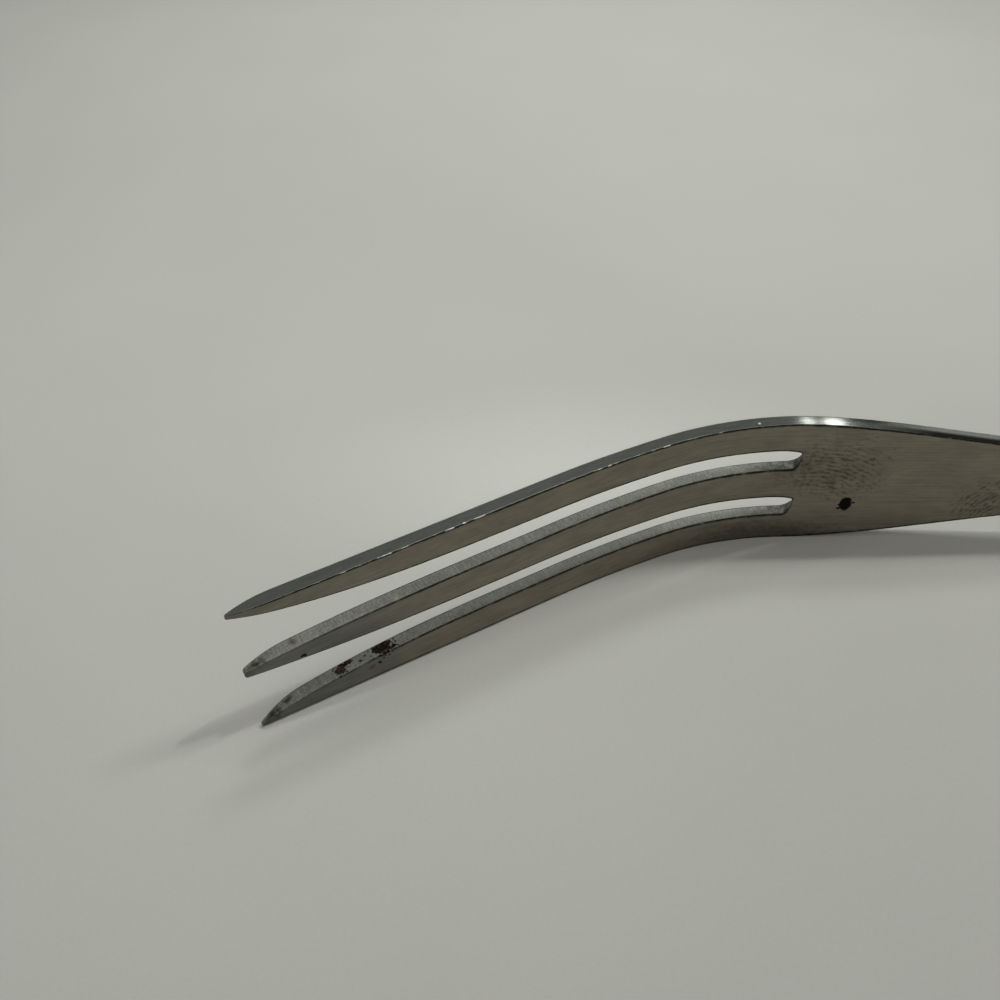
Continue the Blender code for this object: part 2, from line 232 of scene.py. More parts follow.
def dimensions(scene):
    """All sizes in one place: the settings, the stations along the flat blank, zero at the slot ends, and
    the places that follow from them and from the boxes of the solids."""
    d = SimpleNamespace()
    for group in (scene.fork_steel, scene.fork_handle):
        vars(d).update((field, getattr(group, field)) for field in type(group).__annotations__)
    blank_low, blank_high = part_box("fork_blank")
    front_low, front_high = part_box("handle_scale_front")
    back_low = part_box("handle_scale_back")[0]
    d.neck = d.shoulder_length - d.shoulder_lead
    d.nose = d.neck + d.neck_length
    d.nose_end = d.nose + d.nose_round
    d.butt = d.nose + d.handle_length
    d.flare_end = d.butt - d.butt_round
    d.point = -d.point_start
    d.middle_end = d.middle_tip / 2 - d.middle_length
    d.slot_side = d.middle_root / 2 + d.slot_width
    d.slot_middle = d.slot_side - d.slot_width / 2
    d.upper = SimpleNamespace(length=d.upper_length, end=d.outer_tip / 2 - d.upper_length,
                              opening=d.upper_open, apex=d.slot_middle + d.slot_lean)
    d.lower = SimpleNamespace(length=d.lower_length, end=d.outer_tip / 2 - d.lower_length,
                              opening=d.lower_open, apex=d.slot_middle - d.slot_lean)
    d.origin = np.array((blank_high.x - d.butt, (front_high.y + back_low.y) / 2,
                         (blank_low.z + blank_high.z) / 2))
    d.crown = d.origin[1] - front_low.y
    d.scale_floor = d.sheet / 2 + d.scale_fit
    d.head_seat = d.crown - d.rivet_head_thickness
    d.head_radius = d.rivet_head / 2
    d.pin_radius = d.rivet_pin / 2
    d.bore_radius = d.pin_radius + d.rivet_fit
    d.socket_radius = d.bore_radius + d.rivet_wall
    d.hole_radius = d.socket_radius + d.rivet_fit
    d.counterbore_radius = d.head_radius + d.rivet_fit
    d.rivets = np.linspace(d.nose + d.rivet_front_inset, d.butt - d.rivet_rear_inset, d.rivet_count)
    return d


def outer_edge(d, s, end):
    """Half width of the blank at stations s: a round tip beyond the end, a straight tine, an S-curve over
    the shoulder, an S-curve flare over the handle and a quarter ellipse at the butt."""
    neck, head, wide = d.neck_width / 2, d.head_width / 2, d.handle_width / 2
    tip, radius = d.tip_spread / 2, d.outer_tip / 2
    cap = tip - radius + root_of(radius ** 2 - (s - end) ** 2)
    lead = -d.shoulder_lead
    tine = head + (tip - head) * (s - lead) / (end - lead)
    shoulder = neck + (head - neck) * ease(clamped((d.neck - s) / d.shoulder_length))
    flare = neck + (wide - neck) * ease(clamped((s - d.nose) / (d.flare_end - d.nose)))
    butt = wide * np.sqrt(clamped(1.0 - ((s - d.flare_end) / d.butt_round) ** 2))
    return np.select([s < end, s < lead, s < d.neck, s < d.flare_end], [cap, tine, shoulder, flare], butt)


def slot_end(s, reach):
    """Quarter ellipse from 1 where the round end of a slot starts to 0 at its closed end."""
    return np.sqrt(clamped(1.0 - (s / reach + 1.0) ** 2))


def inner_edge(d, s, tine, reach):
    """Inner edge of an outer tine at stations s: its side of the slot's round end, straight while the slot
    opens, a power curve in to the tip and half the tip's round."""
    tip, radius = d.tip_spread / 2, d.outer_tip / 2
    cap = tip - radius - root_of(radius ** 2 - (s - tine.end) ** 2)
    straight = d.slot_side + tine.opening * clamped(-(s + reach) / d.point_start)
    share = clamped((s - d.point) / (tine.end - d.point)) ** d.point_power
    point = straight + (tip - d.outer_tip - straight) * share
    closed = tine.apex + (d.slot_side - tine.apex) * slot_end(s, reach)
    return np.select([s < tine.end, s < -reach], [cap, point], closed)


def middle_edge(d, s, apex, reach):
    """Half width of the middle tine at stations s: its side of the slot's round end, a slight taper to the
    waist, a power curve in to the tip and a round tip."""
    root, waist, radius = d.middle_root / 2, d.middle_waist / 2, d.middle_tip / 2
    cap = root_of(radius ** 2 - (s - d.middle_end) ** 2)
    share = clamped((s - d.point) / (d.middle_end - d.point)) ** d.point_power
    point = waist + (radius - waist) * share
    taper = root + (waist - root) * (s + reach) / (d.point + reach)
    closed = apex + (root - apex) * slot_end(s, reach)
    return np.select([s < d.middle_end, s < d.point, s < -reach], [cap, point, taper], closed)


def place(d, flat):
    """Bend flat points (station, across, through) into place. The middle line runs straight along the
    handle, then turns on two arcs towards the front; a point stands off it along the sheet's normal. The
    tips are ground from the back, so depth there shrinks towards the front face."""
    s, w, n = flat.T
    left = np.maximum(-s, 0.0)
    x, y, tilt = np.maximum(s, 0.0), np.zeros_like(s), np.zeros_like(s)
    for radius, turn in ((d.bend_radius, d.bend_angle), (d.ease_radius, d.ease_angle)):
        step = np.minimum(left / radius, turn)
        x = x - radius * (np.sin(tilt + step) - np.sin(tilt))
        y = y - radius * (np.cos(tilt) - np.cos(tilt + step))
        tilt = tilt + step
        left = left - step * radius
    x, y = x - left * np.cos(tilt), y - left * np.sin(tilt)
    on_middle = np.abs(w) < d.slot_middle
    outer = np.where(w > 0.0, d.upper_length, d.lower_length)
    reach = np.where(on_middle, d.middle_length, outer)
    ground = clamped((d.grind_length - reach - s) / d.grind_length) ** 2
    tip = np.where(on_middle, d.middle_tip_thickness, d.outer_tip_thickness)
    thin = 1.0 + (tip / d.sheet - 1.0) * ground
    set_back = np.where(~on_middle & (w > 0.0), d.upper_tip_set, 0.0) * ground
    n = d.sheet / 2 - (d.sheet / 2 - n) * thin - set_back
    return np.stack((x + n * np.sin(tilt), y - n * np.cos(tilt), w), axis=1) + d.origin


class Patchwork:
    """Points with the zones that they lie in, and the faces between them, gathered patch by patch."""

    def __init__(self):
        self.points = np.zeros((0, 3))
        self.zones = np.zeros((0, len(ZONES)))
        self.faces = []

    def add(self, points, rim=0.0, slot=0.0, edge=0.0):
        """Add points of any grid shape, with how far they lie on a rim, a slot wall and an edge; give their
        numbers."""
        shape = points.shape[:-1]
        first = len(self.points)
        self.points = np.concatenate((self.points, points.reshape(-1, 3)))
        zones = np.stack([np.broadcast_to(zone, shape) for zone in (rim, slot, edge)], axis=-1)
        self.zones = np.concatenate((self.zones, zones.reshape(-1, len(ZONES))))
        return np.arange(first, len(self.points)).reshape(shape)

    def face(self, corners, flip=False):
        """Add faces whose corners are given as arrays of point numbers."""
        rows = np.stack([np.ravel(c) for c in corners], axis=1)
        self.faces += (rows[:, ::-1] if flip else rows).tolist()

    def grid(self, ids, flip=False, skip=None):
        """Quads between neighbouring rows and columns, except the skipped ones."""
        a, b, c, e = ids[:-1, :-1], ids[1:, :-1], ids[1:, 1:], ids[:-1, 1:]
        keep = np.ones(a.shape, bool) if skip is None else ~skip
        self.face((a[keep], b[keep], c[keep], e[keep]), flip)

    def fan(self, row, apex, flip=False):
        """Triangles from a row to one point."""
        self.face((row[:-1], np.full(len(row) - 1, apex), row[1:]), flip)

    def lid(self, ring, apex, flip=False):
        """Triangles from a closed ring to one point."""
        self.fan(np.append(ring, ring[0]), apex, flip)

    def tube(self, rings, flip=False):
        """Quads between each closed ring and the next, all of equally many points."""
        for near, far in zip(rings[:-1], rings[1:]):
            self.face((near, np.roll(near, -1), np.roll(far, -1), far), flip)

    def between(self, left, right, shares):
        """Rows of points from left to right at the given shares, with the two ends shared."""
        a, b = self.points[left][:, None, :], self.points[right][:, None, :]
        inside = self.add(a + (b - a) * shares[None, 1:-1, None])
        return np.concatenate((left[:, None], inside, right[:, None]), axis=1)

    def circle(self, around, centre, radius, height):
        """Closed ring of new points at a radius in the given unit directions from a station on the middle
        line, at a height that is a number or a function of station and place across."""
        flat = around * radius + (centre, 0.0)
        level = height(*flat.T) if callable(height) else height
        return self.add(np.column_stack((flat, np.broadcast_to(level, len(flat)))))

    def towards(self, ring, centre):
        """Unit directions from a station on the middle line to the points of a ring."""
        out = self.points[ring][:, :2] - (centre, 0.0)
        return out / np.linalg.norm(out, axis=1, keepdims=True)


def around_axis(count):
    """Unit directions evenly round an axis: cosine and sine of equal turns."""
    turn = np.linspace(0.0, FULL_TURN, count, endpoint=False)
    return np.column_stack((np.cos(turn), np.sin(turn)))


def hole_blocks(d, stations, across, radius, room):
    """For each rivet, its station and the block of a grid that its hole takes up with some room round it, as
    index pairs of rows and columns. The grid's rows lie at the given stations, its points at the given
    places across."""
    along_room, across_room = room
    for rivet in d.rivets:
        reach = radius + along_room
        i, j = np.searchsorted(stations, rivet - reach) - 1, np.searchsorted(stations, rivet + reach)
        columns = np.flatnonzero(np.abs(across[i:j + 1]).min(axis=0) < radius + across_room)
        yield rivet, (i, j), (columns[0] - 1, columns[-1] + 1)


def block_ring(ids, rows, columns):
    """Point numbers round a block of a grid, anticlockwise with rows to the right and columns up."""
    (i, j), (a, b) = rows, columns
    return np.concatenate((ids[i:j, a], ids[j, a:b], ids[j:i:-1, b], ids[i, b:a:-1]))


def cosine_steps(start, end, count):
    """Stations that crowd towards start, as a circle's points do near its top."""
    return start + (end - start) * (1.0 - np.cos(np.linspace(0.0, math.pi / 2, count + 1)))


def even_steps(start, end, step):
    """Stations about a step apart, both ends included."""
    return np.linspace(start, end, max(2, int(round(abs(end - start) / step)) + 1))


def tine_rows(d, end, tine_length):
    """Stations of a tine's rows, from the slot end to the tip, closer at both round ends."""
    start = cosine_steps(0.0, -d.slot_round, SLOT_END_ROWS)
    side = np.linspace(-d.slot_round, end, TINE_ROWS)
    tip = cosine_steps(-tine_length, end, TIP_ROWS)[::-1]
    return np.concatenate((start, side[1:], tip[1:]))


def half_outline(d, back, tine, rounds, draft):
    """Half of the flat blank's outline, from the butt along the outer edge to the tip, back to the slot end
    and out to the middle tip. The draft carries the slot end further in and fades out along the slot."""
    outer = tine_rows(d, tine.end, tine.length)
    inner = outer[-2::-1]
    middle = tine_rows(d, d.middle_end, d.middle_length)[1:]
    behind = back[:0:-1]
    half = np.concatenate((
        np.column_stack((behind, outer_edge(d, behind, tine.end))),
        np.column_stack((outer, outer_edge(d, outer, tine.end))),
        np.column_stack((inner, inner_edge(d, inner, tine, rounds[0]))),
        np.column_stack((middle, middle_edge(d, middle, tine.apex, rounds[1])))))
    slot = half[len(behind) + len(outer):]
    slot[:, 0] += draft * clamped(1.0 + slot[:, 0] / DRAFT_FADE)
    half[[0, -1], 1] = 0.0
    return half, len(outer) - 1, len(middle)


def blank_outline(d, corner, draft):
    """Closed outline of the flat blank, anticlockwise, as one row of points, with the numbers on it of each
    edge's rows. The lower half mirrors the upper but for its tine and the lean of the slot end."""
    butt = cosine_steps(d.butt, d.flare_end, BUTT_ROWS)[::-1]
    back = np.concatenate(([0.0], even_steps(FIRST_ROW, d.neck, SHOULDER_STEP),
                           even_steps(d.neck, d.nose, TANG_STEP)[1:],
                           even_steps(d.nose, d.flare_end, TANG_STEP)[1:], butt[1:]))
    upper, t, m = half_outline(d, back, d.upper, (d.slot_round, corner), draft)
    lower = half_outline(d, back, d.lower, (corner, d.slot_round), draft)[0]
    loop = np.concatenate((upper, lower[-2:0:-1] * (1.0, -1.0)))
    h, total = len(back) - 1, len(loop)
    rows = SimpleNamespace(back=back)
    rows.back_upper = h - np.arange(h + 1)
    rows.outer = h + np.arange(t + 1)
    rows.inner = h + 2 * t - np.arange(t + 1)
    rows.middle = h + 2 * t + np.arange(m + 1)
    rows.mirror = lambda numbers: (total - numbers) % total
    number = np.arange(total)
    rows.on_slot = (number > h + t) & (number < total - h - t)
    return loop, rows


def rim_rings(d, loop, far):
    """Rings of the blank's rim from the front outline to the back outline. Across the sheet they follow a
    quarter round, a straight wall and a quarter round; the rounds shrink towards the tips."""
    tangent = np.roll(loop, -1, axis=0) - np.roll(loop, 1, axis=0)
    tangent /= np.linalg.norm(tangent, axis=1, keepdims=True)
    inward = np.column_stack((-tangent[:, 1], tangent[:, 0]))
    from_tip = clamped((loop[:, 0] - loop[:, 0].min()) / ROUND_FADE)
    radius = d.edge_round * (TIP_ROUND + (1.0 - TIP_ROUND) * from_tip)
    turn = np.linspace(0.0, math.pi / 2, EDGE_ROWS)[:, None]
    inset = radius * (1.0 - np.sin(turn))
    depth = d.sheet / 2 - radius * (1.0 - np.cos(turn))
    wall = (d.sheet / 2 - radius - WALL_START) * np.linspace(1.0, -1.0, WALL_ROWS)[:, None]
    inset = np.concatenate((inset, np.zeros_like(wall), inset[::-1]))
    depth = np.concatenate((depth, wall, -depth[::-1]))
    rim = np.concatenate((np.sin(turn), np.ones((WALL_ROWS, 1)), np.sin(turn)[::-1]))
    edge = np.concatenate((np.ones_like(turn), np.zeros((WALL_ROWS, 1)), np.ones_like(turn)))
    through = (0.5 - depth / d.sheet)[..., None]
    points = loop[None] + (far - loop)[None] * through + inward[None] * inset[..., None]
    return np.concatenate((points, depth[..., None]), axis=2), rim, edge


def blank_face(patch, ring, rows, d, flip):
    """One face of the blank, filled inside its ring: a strip on each tine, and one over shoulder, neck and
    tang whose first row is the three tines' first rows side by side. Gives the ring of each rivet hole."""
    low = rows.mirror
    tines = ((low(rows.outer), low(rows.inner)), (low(rows.middle), rows.middle), (rows.inner, rows.outer))
    first = []
    for left, right in tines:
        strip = patch.between(ring[left[:-1]], ring[right[:-1]], FACE_COLUMNS)
        patch.grid(strip, not flip)
        patch.fan(strip[-1], ring[left[-1]], not flip)
        first.append(strip[0])
    start = np.concatenate((first[0], first[1][1:], first[2][1:]))
    across = patch.points[start, 1]
    shares = (across - across[0]) / (across[-1] - across[0])
    numbers = rows.back_upper[1:-1]
    strip = patch.between(ring[low(numbers)], ring[numbers], shares)
    fade = clamped(1.0 - rows.back[1:-1] / CURVE_FADE)
    patch.points[strip[:, 1:-1], 0] += patch.points[start[1:-1], 0] * fade[:, None]
    strip = np.concatenate((start[None], strip))
    skip = np.zeros((strip.shape[0] - 1, strip.shape[1] - 1), bool)
    holes = []
    for rivet, block, span in hole_blocks(d, rows.back, patch.points[strip, 1], d.hole_radius, BLANK_ROOM):
        skip[slice(*block), slice(*span)] = True
        outside = block_ring(strip, block, span)
        depth = patch.points[outside[0], 2]
        hole = patch.circle(patch.towards(outside, rivet), rivet, d.hole_radius, depth)
        patch.tube((outside, hole), flip)
        holes.append(hole)
    patch.grid(strip, flip, skip)
    patch.fan(strip[-1], ring[0], flip)
    return holes


def fork_blank_mesh(d):
    """The whole steel blank as one closed surface: rim, front face, back face and rivet holes."""
    patch = Patchwork()
    loop, rows = blank_outline(d, d.slot_corner, 0.0)
    far = blank_outline(d, d.slot_run, d.slot_draft)[0]
    points, rim, edge = rim_rings(d, loop, far)
    ids = patch.add(points, rim, np.where(rows.on_slot, 1.0, 0.0)[None], edge)
    patch.tube(ids, True)
    front = blank_face(patch, ids[0], rows, d, False)
    back = blank_face(patch, ids[-1], rows, d, True)
    for bore in zip(front, back):
        patch.tube(bore)
    return patch


def scale_half_width(d, s):
    """Half width of a scale at stations s: the tang's own, closed by a half ellipse at the nose."""
    ellipse = np.sqrt(clamped(1.0 - ((d.nose_end - s) / d.nose_round) ** 2))
    side = outer_edge(d, np.maximum(s, d.nose_end), d.upper.end)
    return np.where(s < d.nose_end, side * ellipse, side)


def scale_height(d, s, w):
    """Height of a scale's crowned face over the sheet's middle: a superellipse across the width, brought
    down to the tang by a round over both ends."""
    half = np.maximum(scale_half_width(d, s), NO_WIDTH)
    across = clamped(np.abs(w) / half)
    to_end = clamped(np.minimum(s - d.nose, d.butt - s) / d.end_round)
    rounded = (1.0 - (1.0 - to_end) ** CROWN_END) ** (1.0 / CROWN_END)
    crowned = (1.0 - across ** CROWN_ACROSS) ** (1.0 / CROWN_HEIGHT)
    return d.scale_floor + (d.crown - d.scale_floor) * rounded * crowned


def handle_scale_mesh(d, side):
    """One scale as a closed surface: rows along the handle, columns over its crowned face and back under
    its flat seat, with a stepped hole for each rivet. The other scale is the same, turned over."""
    patch = Patchwork()
    crown = partial(scale_height, d)
    stations = np.concatenate((cosine_steps(d.nose, d.nose_end, SCALE_NOSE_ROWS),
                               even_steps(d.nose_end, d.flare_end, SCALE_STEP)[1:],
                               cosine_steps(d.butt, d.flare_end, SCALE_BUTT_ROWS)[::-1][1:]))
    turn = np.linspace(math.pi, 0.0, SCALE_COLUMNS)
    across = np.sign(np.cos(turn)) * np.abs(np.cos(turn)) ** (2.0 / CROWN_ACROSS)
    across[SCALE_COLUMNS // 2] = 0.0
    rows = stations[1:-1]
    w = scale_half_width(d, rows)[:, None] * across[None]
    s = np.broadcast_to(rows[:, None], w.shape)
    top = patch.add(np.stack((s, w, crown(s, w)), axis=-1))
    seat = np.stack((s, w, np.full(w.shape, d.scale_floor)), axis=-1)
    low = np.concatenate((top[:, :1], patch.add(seat[:, 1:-1]), top[:, -1:]), axis=1)
    nose, butt = patch.add(np.array([(station, 0.0, d.scale_floor) for station in (d.nose, d.butt)]))
    skip = np.zeros((len(rows) - 1, w.shape[1] - 1), bool)
    flip = side < 0
    floor = d.head_seat - d.rivet_fit
    stepped = ((d.counterbore_radius + COUNTERBORE_RING, crown), (d.counterbore_radius, crown),
               (d.counterbore_radius, floor), (d.hole_radius, floor), (d.hole_radius, d.scale_floor))
    for rivet, block, span in hole_blocks(d, rows, w, d.counterbore_radius, SCALE_ROOM):
        skip[slice(*block), slice(*span)] = True
        outside, under = block_ring(top, block, span), block_ring(low, block, span)
        around = patch.towards(outside, rivet)
        hole = [patch.circle(around, rivet, radius, height) for radius, height in stepped]
        patch.tube((outside, *hole, under), flip)
    for ids, turned in ((top, flip), (low, not flip)):
        patch.grid(ids, turned, skip)
        patch.fan(ids[0], nose, not turned)
        patch.fan(ids[-1], butt, turned)
    patch.points[:, 2] *= side
    return patch


def rivet_mesh(d, station, hollow, side):
    """One rivet half, turned about its axis: a head ground to the wood's crown with a fine broken edge, and
    a pin or a tube that stops just short of the other head."""
    patch = Patchwork()
    around = around_axis(RIVET_SIDES)

    def ground(drop):
        """Height of the head's face, less a drop."""
        return lambda s, w: scale_height(d, s, w) + HEAD_PROUD - drop

    head, seat, end = d.head_radius, d.head_seat, d.rivet_fit - d.head_seat
    facet = HEAD_FACET * HEAD_EDGE
    profile = [(head * share, ground(0.0)) for share in HEAD_RINGS]
    profile += [(head - HEAD_EDGE, ground(0.0)), (head - facet, ground(facet)), (head, ground(HEAD_EDGE)),
                (head, seat)]
    if hollow:
        profile += [(d.socket_radius, seat), (d.socket_radius, end), (d.bore_radius, end),
                    (d.bore_radius, seat)]
    else:
        profile += [(d.pin_radius, seat), (d.pin_radius, end)]
    rings = [patch.circle(around, station, radius, height) for radius, height in profile]
    top = ground(0.0)(np.array([station]), np.zeros(1))[0]
    last = profile[-1][1]
    first_middle, last_middle = patch.add(np.array([(station, 0.0, top), (station, 0.0, last)]))
    flip = side < 0
    patch.tube(rings, not flip)
    patch.lid(rings[0], first_middle, not flip)
    patch.lid(rings[-1], last_middle, flip)
    patch.points[:, 2] *= side
    return patch


def table_mesh(radius):
    """Round table top: a polar grid whose rings widen with the square of their number."""
    patch = Patchwork()
    around = around_axis(TABLE_SIDES)
    rings = [patch.circle(around, 0.0, r, 0.0) for r in radius * np.linspace(0.0, 1.0, TABLE_RINGS)[1:] ** 2]
    patch.tube(rings[::-1])
    patch.lid(rings[0], patch.add(np.zeros((1, 3)))[0], True)
    return patch


def new_object(name, data):
    """Object in the scene's collection."""
    thing = bpy.data.objects.new(name, data)
    bpy.context.scene.collection.objects.link(thing)
    return thing


def new_mesh(name, points, faces, material):
    """Mesh of one material."""
    mesh = bpy.data.meshes.new(name)
    mesh.from_pydata(points.tolist(), [], faces)
    mesh.materials.append(material)
    return mesh


def new_piece(d, node, patch, material, sharp):
    """Patchwork bent into place as the piece that stands for a CAD node. It rides on the body and is shaded
    smooth up to a sharp angle."""
    name = node + "_skin"
    mesh = new_mesh(name, place(d, patch.points), patch.faces, material)
    mesh.validate()
    mesh.shade_smooth()
    mesh.set_sharp_from_angle(angle=math.radians(sharp))
    piece = new_object(name, mesh)
    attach(piece, BODY)
    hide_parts(node)
    return piece


class Bench:
    """Lays nodes in a tree and wires them."""

    def __init__(self, tree):
        self.tree = tree
        tree.nodes.clear()

    def lay(self, kind, sockets=None, **settings):
        """Add a node, set its settings, and fill its sockets with values or links."""
        node = self.tree.nodes.new("ShaderNode" + kind)
        for name, value in settings.items():
            setattr(node, name, value)
        for key, value in (sockets or {}).items():
            if isinstance(value, bpy.types.NodeSocket):
                self.tree.links.new(value, node.inputs[key])
            else:
                node.inputs[key].default_value = value
        return node

    def attribute(self, name, output):
        """What a mesh's own attribute gives."""
        return self.lay("Attribute", attribute_name=name).outputs[output]

    def millimetres(self):
        """Object coordinates in millimetres."""
        return self.vector("MULTIPLY", self.lay("TexCoord").outputs["Object"], (1.0 / MM,) * 3)

    def math(self, operation, a, b=0.0):
        """One sum, difference, product or sine."""
        return self.lay("Math", {0: a, 1: b}, operation=operation).outputs[0]

    def product(self, first, *others):
        """Product of several numbers."""
        for other in others:
            first = self.math("MULTIPLY", first, other)
        return first

    def weighed(self, a, a_weight, b, b_weight):
        """Sum of two numbers, each times its weight."""
        return self.math("ADD", self.product(a, a_weight), self.product(b, b_weight))

    def tint(self, colour_in, tone):
        """Colour scaled by a tone."""
        return self.lay("VectorMath", {0: colour_in, 3: tone}, operation="SCALE").outputs[0]

    def vector(self, operation, a, b=(0.0, 0.0, 0.0)):
        """One vector sum, difference, product or quotient."""
        return self.lay("VectorMath", {0: a, 1: b}, operation=operation).outputs["Vector"]

    def length_of(self, a):
        """Length of a vector."""
        return self.lay("VectorMath", {0: a}, operation="LENGTH").outputs["Value"]

    def noise(self, where, scale, detail=2.0, roughness=0.5):
        """Noise between 0 and 1 over places stretched by a scale on each axis."""
        stretched = self.vector("MULTIPLY", where, scale)
        sockets = {"Vector": stretched, "Scale": 1.0, "Detail": detail, "Roughness": roughness}
        return self.lay("TexNoise", sockets).outputs[0]

    def ramp(self, value, low, high, to_low=0.0, to_high=1.0):
        """Straight ramp between two values, held level outside them."""
        sockets = {"Value": value, "From Min": low, "From Max": high, "To Min": to_low, "To Max": to_high}
        return self.lay("MapRange", sockets).outputs[0]

    def tone(self, noise, low, high):
        """Ramp over the range that most of a noise keeps to."""
        return self.ramp(noise, 0.3, 0.7, low, high)

    def mix(self, share, a, b):
        """Mix two colours, each a value or a link."""
        a, b = (c if isinstance(c, bpy.types.NodeSocket) else (*c, 1.0) for c in (a, b))
        return self.lay("Mix", {0: share, 6: a, 7: b}, data_type="RGBA").outputs[2]

    def blend(self, share, a, b):
        """Mix two numbers."""
        return self.lay("Mix", {0: share, 2: a, 3: b}).outputs[0]

    def spot(self, where, wander, centre, radii, soft):
        """1 inside an ellipsoid with a wandering edge, 0 outside it, with a soft share of it between."""
        near = self.vector("DIVIDE", self.vector("SUBTRACT", where, centre), radii)
        return self.ramp(self.math("ADD", self.length_of(near), wander), 1.0, 1.0 - soft)

    def bump(self, height, strength, depth):
        """Normal of a surface roughened by a height, up to a depth in metres."""
        return self.lay("Bump", {"Height": height, "Strength": strength, "Distance": depth}).outputs[0]

    def close(self, base, roughness, metallic, normal=None, **fixed):
        """Principled shader with linked colour and roughness, and fixed values set on its own sockets."""
        sockets = {"Base Color": base, "Roughness": roughness, "Metallic": metallic, **fixed}
        if normal is not None:
            sockets["Normal"] = normal
        shader = self.lay("BsdfPrincipled", sockets)
        self.lay("OutputMaterial", {0: shader.outputs[0]})


def new_material(name):
    """Empty node material and its bench."""
    material = bpy.data.materials.new(name)
    material.use_nodes = True
    return material, Bench(material.node_tree)


# Marks on the blank, in millimetres on the flat sheet: centre and radii along, across and through it, and
# the core that a fingerprint's ridges go round
FINGERPRINTS = (((5.0, 2.3, 0.85), (6.4, 5.4, 3.0), (1.5, -9.0, 0.0)),
                ((23.6, -3.4, 0.85), (4.8, 4.0, 3.0), (31.5, -9.6, 0.0)))
RIDGE_SPACING = 0.62
SMEARS = (((4.3, 0.0, 0.85), (0.8, 2.6, 1.0)), ((-0.5, 2.4, 0.85), (4.0, 3.0, 1.0)))
# Painted reflection of the table's shadow: the face darkened low at the lower tine's root
TABLE_SHADOW_REFLECTION = (((-3.0, -8.9, 0.85), (13.5, 3.2, 1.0)),)
CRUMB = (((6.6, -3.33, 0.85), (0.84, 1.2, 0.8)), ((5.85, -4.1, 0.85), (0.28, 0.16, 0.4)),
         ((7.5, -3.2, 0.85), (0.28, 0.16, 0.4)), ((5.9, -3.5, 0.85), (0.3, 0.14, 0.4)))
BROWN_RESIDUE = (((-58.9, -6.35, -0.1), (0.95, 0.8, 1.0)), ((-56.6, -6.05, 0.2), (0.28, 0.4, 0.3)),
                 ((-55.9, -5.95, -0.2), (0.25, 0.4, 0.3)))
BLACK_RESIDUE = (((-53.8, -5.75, -0.15), (1.7, 1.0, 1.25)), ((-52.7, -5.7, 0.45), (0.75, 0.5, 0.3)),
                 ((-58.0, -6.25, -0.45), (0.75, 0.6, 0.45)), ((-54.6, -6.72, 0.85), (0.3, 0.25, 0.4)),
                 ((-62.7, -0.6, 0.85), (0.4, 0.28, 0.5)))
TIP_GRIME = (((-67.6, 0.75, 0.1), (1.5, 0.45, 0.9)), ((-67.2, -7.9, 0.1), (1.4, 0.5, 0.9)),
             ((-65.3, -7.45, -0.2), (0.9, 0.35, 0.5)))
STAINS = (((-63.3, 1.2, -0.2), (0.7, 0.7, 0.7)), ((-67.9, 0.5, 0.3), (1.4, 0.9, 1.1)),
          ((-67.6, -8.2, 0.3), (1.9, 1.0, 1.2)), ((-55.6, -7.0, 0.85), (0.7, 0.35, 0.4)))
# Nicks along the upper front edge, painted bright as the glints that they catch
NICKS_AND_GLINTS = (((-43.1, 8.85, 0.80), (0.42, 0.15, 0.17)), ((-44.8, 8.84, 0.82), (0.8, 0.10, 0.09)),
         ((-41.3, 8.85, 0.82), (0.9, 0.10, 0.08)), ((-52.3, 8.81, 0.80), (1.0, 0.12, 0.11)),
         ((-57.0, 8.80, 0.82), (0.5, 0.10, 0.09)), ((-24.9, 8.91, 0.78), (0.34, 0.14, 0.16)),
         ((-17.6, 8.94, 0.80), (0.7, 0.10, 0.12)), ((-5.6, 9.0, 0.15), (0.25, 0.3, 0.22)))

# Stations, places across and depths through, in millimetres, between which the steel's finish and its
# painted shade, sheen and reflections change
WORN_TIP, WORN_LOW = (-46.0, -60.0), (7.5, -1.0)
NECK_NEAR, NECK_FAR = (8.0, 15.0), (52.0, 44.0)
GLINT_SHADE_NEAR, GLINT_SHADE_FAR = (-2.0, 1.0), (10.0, 8.0)
SHADED_SLOT_END = (-7.0, -2.0)
LOWER_WALL, LOWER_START = (-1.0, -3.0), (-16.0, -16.8)
HALFWAY_NEAR, HALFWAY_FAR = (-16.0, -28.0), (-62.0, -50.0)
PALE_TIP = (-45.0, -62.0)
CORNER_SHADE_FADE, UPPER_CORNER = (-50.0, -62.0), (3.0, 7.0)
SHADED_FRONT, GLINT_SHADE_BACK, LIT_BACK = (-0.10, 0.35), (0.05, -0.45), (0.15, -0.2)
# Roughness of the rim, the slot walls, the corners, the fingerprints and the other marks
RIM_ROUGH, SLOT_ROUGH, CORNER_ROUGH, PRINT_ROUGH, MARK_ROUGH = 0.14, 0.52, 0.60, 0.62, 0.65


